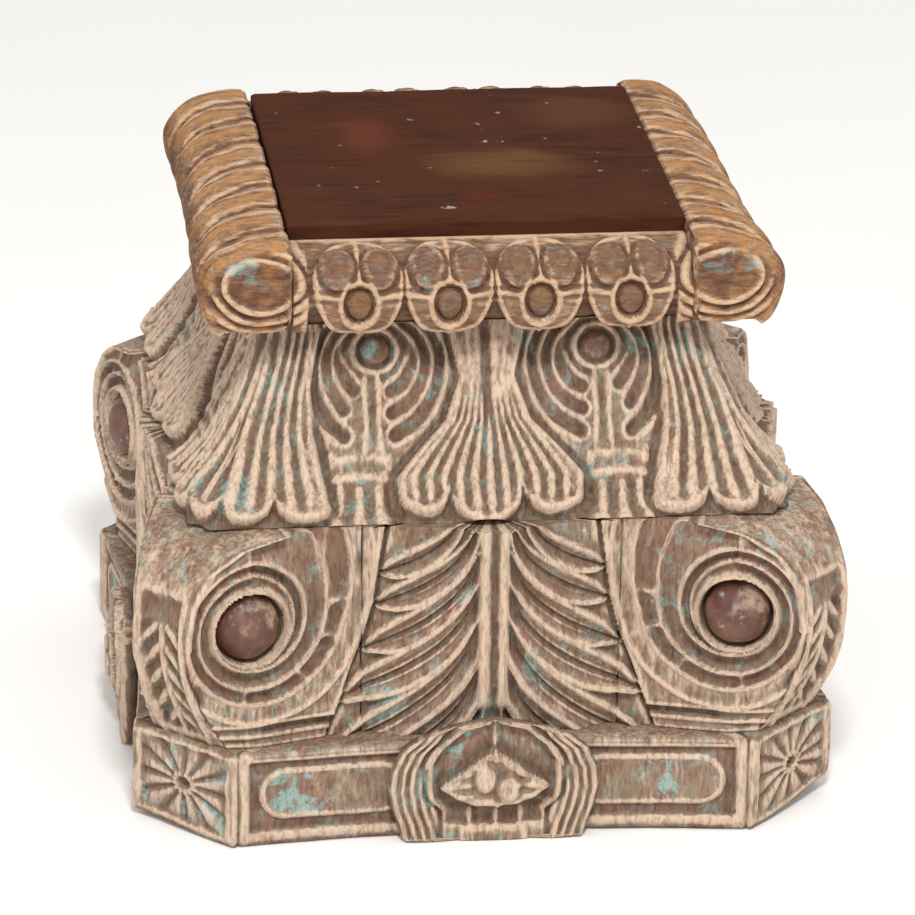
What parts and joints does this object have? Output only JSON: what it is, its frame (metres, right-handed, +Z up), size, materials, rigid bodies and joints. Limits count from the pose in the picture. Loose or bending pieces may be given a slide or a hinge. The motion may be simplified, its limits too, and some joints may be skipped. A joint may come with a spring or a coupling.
{
  "type": "carved wooden pedestal",
  "caption": "Square carved and painted wooden pedestal shaped like a capital: chamfered plinth, scrolled corner blocks, a bell of leaves and a moulded cap around a smooth flat top.",
  "frame": {"origin": "middle of the plinth's underside, on the surface that the pedestal stands on", "axes": "+Z up; -Y the front, with the medallion rail of the cap; +X to the right; the plan is square"},
  "size_m": [0.3322, 0.3322, 0.283],
  "materials": {
    "limed_carving": "worn limewash and old paint over carved hardwood, matt",
    "eye_paint": "dark red-brown paint, rubbed, with pale specks",
    "ochre_moulding": "worn ochre paint over carved hardwood, matt",
    "dark_board": "dark brown stained and waxed, low sheen",
    "raw_wood": "sawn hardwood, unpainted",
    "dowel_wood": "turned hardwood pegs, unpainted"
  },
  "bodies": {
    "root": {"plinth": "limed_carving", "fleuron_front": "limed_carving", "fleuron_right": "limed_carving", "fleuron_back": "limed_carving", "fleuron_left": "limed_carving", "core_block": "raw_wood", "palmette_front": "limed_carving", "palmette_right": "limed_carving", "palmette_back": "limed_carving", "palmette_left": "limed_carving", "volute_front_right": "limed_carving", "volute_back_right": "limed_carving", "volute_back_left": "limed_carving", "volute_front_left": "limed_carving", "eye_front_a": "eye_paint", "eye_front_b": "eye_paint", "eye_right_a": "eye_paint", "eye_right_b": "eye_paint", "eye_back_a": "eye_paint", "eye_back_b": "eye_paint", "eye_left_a": "eye_paint", "eye_left_b": "eye_paint", "bell_block": "limed_carving", "cap_base": "raw_wood", "side_rail_right": "ochre_moulding", "side_rail_left": "ochre_moulding", "medallion_rail_front": "limed_carving", "medallion_rail_back": "limed_carving", "top_board_front": "dark_board", "top_board_back": "dark_board", "dowel_plinth_1": "dowel_wood", "dowel_plinth_2": "dowel_wood", "dowel_plinth_3": "dowel_wood", "dowel_plinth_4": "dowel_wood", "dowel_bell_1": "dowel_wood", "dowel_bell_2": "dowel_wood", "dowel_bell_3": "dowel_wood", "dowel_bell_4": "dowel_wood", "dowel_cap_1": "dowel_wood", "dowel_cap_2": "dowel_wood", "dowel_cap_3": "dowel_wood", "dowel_cap_4": "dowel_wood"}
  },
  "joints": []
}
